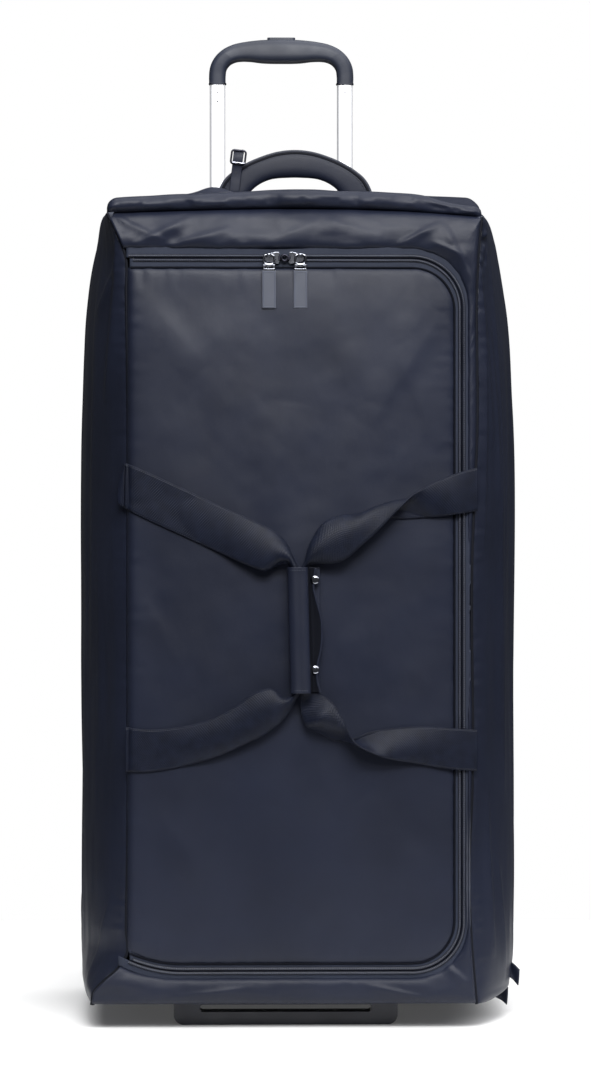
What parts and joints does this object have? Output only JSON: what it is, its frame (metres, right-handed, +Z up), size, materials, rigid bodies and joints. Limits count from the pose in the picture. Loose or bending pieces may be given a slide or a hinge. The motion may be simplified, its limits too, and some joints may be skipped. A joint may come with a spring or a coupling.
{
  "type": "rolling duffel bag",
  "caption": "Upright soft rolling duffel with a zipped D-shaped front door, wrapped webbing grip, carry handle, telescopic trolley handle, rear wheels and a front foot.",
  "frame": {"origin": "on the floor under the middle of the bag, as it stands on its wheels and front foot", "axes": "+Z up, -Y towards the zipped door, +X to the right as seen from the front"},
  "size_m": [0.393, 0.3585, 0.9225],
  "materials": {
    "shell_fabric": "navy coated nylon",
    "zip_tape": "woven tape",
    "zip_coil": "nylon coil",
    "webbing": "woven nylon webbing",
    "wrap_fabric": "navy coated nylon",
    "board": "polyethylene board",
    "foam": "closed-cell foam",
    "moulded_plastic": "fine texture",
    "grip_plastic": "satin",
    "rod_plastic": "plain",
    "tube_aluminium": "satin anodised",
    "tyre_rubber": "matt",
    "steel": "satin",
    "nickel": "polished nickel",
    "dark_nickel": "dark nickel",
    "pull_rubber": "soft matt"
  },
  "bodies": {
    "bag": {"side_panel_right": "shell_fabric", "side_panel_left": "shell_fabric", "top_panel": "shell_fabric", "back_panel": "shell_fabric", "bottom_panel": "shell_fabric", "base_board": "board", "back_board": "board", "rear_kick_plate": "moulded_plastic", "front_frame": "shell_fabric", "zipper_tape_frame": "zip_tape", "zipper_chain_frame": "zip_coil", "strap_right": "webbing", "trolley_outer_tubes": "tube_aluminium", "tube_bezel": "moulded_plastic", "tube_socket": "moulded_plastic", "wheel_housing_left": "moulded_plastic", "wheel_housing_right": "moulded_plastic", "wheel_axles": "steel", "axle_nuts": "steel", "front_foot": "moulded_plastic", "foot_screws": "steel", "handle_patches": "shell_fabric"},
    "door": {"door_panel": "shell_fabric", "zipper_tape_door": "zip_tape", "zipper_chain_door": "zip_coil", "strap_left": "webbing", "grip_wrap": "wrap_fabric", "snap_sockets": "nickel"},
    "wrap_flap": {"grip_flap": "wrap_fabric", "snap_caps": "nickel"},
    "slider_left": {"slider_left": "nickel"},
    "ring_left": {"pull_ring_left": "nickel"},
    "pull_left": {"pull_clamp_left": "nickel", "pull_tab_left": "pull_rubber"},
    "slider_right": {"slider_right": "nickel"},
    "ring_right": {"pull_ring_right": "nickel"},
    "pull_right": {"pull_clamp_right": "nickel", "pull_tab_right": "pull_rubber"},
    "trolley": {"trolley_inner_tubes": "tube_aluminium", "trolley_grip": "grip_plastic", "grip_rivets": "steel", "lock_blocks": "moulded_plastic", "button_spring": "steel"},
    "button": {"release_button": "grip_plastic", "push_rods": "rod_plastic"},
    "lock_pin_left": {"lock_pin_left": "steel"},
    "lock_pin_right": {"lock_pin_right": "steel"},
    "wheel_left": {"tyre_left": "tyre_rubber", "hub_left": "moulded_plastic", "bearings_left": "steel"},
    "wheel_right": {"tyre_right": "tyre_rubber", "hub_right": "moulded_plastic", "bearings_right": "steel"},
    "carry_handle": {"carry_handle": "shell_fabric", "carry_handle_core": "foam"},
    "id_tag": {"id_strap": "webbing", "id_buckle": "dark_nickel"}
  },
  "joints": [
    {"name": "door_swing", "type": "hinge", "parent": "bag", "child": "door", "pos_m": [-0.155, -0.15, 0.37], "axis": [0, 0, -1], "range_deg": [0, 110], "deforming": ["strap_right", "zipper_chain_door", "zipper_chain_frame"]},
    {"name": "flap_fold", "type": "hinge", "parent": "door", "child": "wrap_flap", "pos_m": [0.0043, -0.181, 0.357], "axis": [0, 0, -1], "range_deg": [0, 120]},
    {"name": "slider_left_run", "type": "slide", "parent": "door", "child": "slider_left", "axis": [-1, 0, 0], "range_m": [0, 0.115]},
    {"name": "slider_right_run", "type": "slide", "parent": "door", "child": "slider_right", "axis": [1, 0, 0], "range_m": [0, 0.095]},
    {"name": "ring_left_swing", "type": "hinge", "parent": "slider_left", "child": "ring_left", "pos_m": [-0.025, -0.1569, 0.6916], "axis": [-1, 0, 0], "range_deg": [0, 95]},
    {"name": "pull_left_swing", "type": "hinge", "parent": "ring_left", "child": "pull_left", "pos_m": [-0.025, -0.1569, 0.6834], "axis": [-1, 0, 0], "range_deg": [0, 80]},
    {"name": "ring_right_swing", "type": "hinge", "parent": "slider_right", "child": "ring_right", "pos_m": [-0.003, -0.1569, 0.6916], "axis": [-1, 0, 0], "range_deg": [0, 95]},
    {"name": "pull_right_swing", "type": "hinge", "parent": "ring_right", "child": "pull_right", "pos_m": [-0.003, -0.1569, 0.6834], "axis": [-1, 0, 0], "range_deg": [0, 80]},
    {"name": "trolley_slide", "type": "slide", "parent": "bag", "child": "trolley", "axis": [0, 0, 1], "range_m": [-0.118, 0.175]},
    {"name": "button_press", "type": "slide", "parent": "trolley", "child": "button", "axis": [0, 0, -1], "range_m": [0, 0.004], "stiffness_N_per_m": 1200, "springref_m": -0.002, "deforming": ["button_spring"]},
    {"name": "lock_pin_left_run", "type": "slide", "parent": "trolley", "child": "lock_pin_left", "axis": [1, 0, 0], "range_m": [0, 0.003]},
    {"name": "lock_pin_right_run", "type": "slide", "parent": "trolley", "child": "lock_pin_right", "axis": [-1, 0, 0], "range_m": [0, 0.003]},
    {"name": "wheel_left_spin", "type": "hinge", "parent": "bag", "child": "wheel_left", "pos_m": [-0.147, 0.145, 0.0325], "axis": [1, 0, 0], "continuous": true},
    {"name": "wheel_right_spin", "type": "hinge", "parent": "bag", "child": "wheel_right", "pos_m": [0.123, 0.145, 0.0325], "axis": [1, 0, 0], "continuous": true},
    {"name": "carry_handle_tilt", "type": "hinge", "parent": "bag", "child": "carry_handle", "pos_m": [0, 0.08, 0.7605], "axis": [1, 0, 0], "range_deg": [-15, 50]},
    {"name": "id_tag_run", "type": "slide", "parent": "carry_handle", "child": "id_tag", "axis": [0.3746, 0, 0.9272], "range_m": [-0.001, 0.0025]}
  ],
  "couplings": [
    {"joint": "lock_pin_left_run", "follows": "button_press", "ratio": 0.75},
    {"joint": "lock_pin_right_run", "follows": "button_press", "ratio": 0.75}
  ]
}
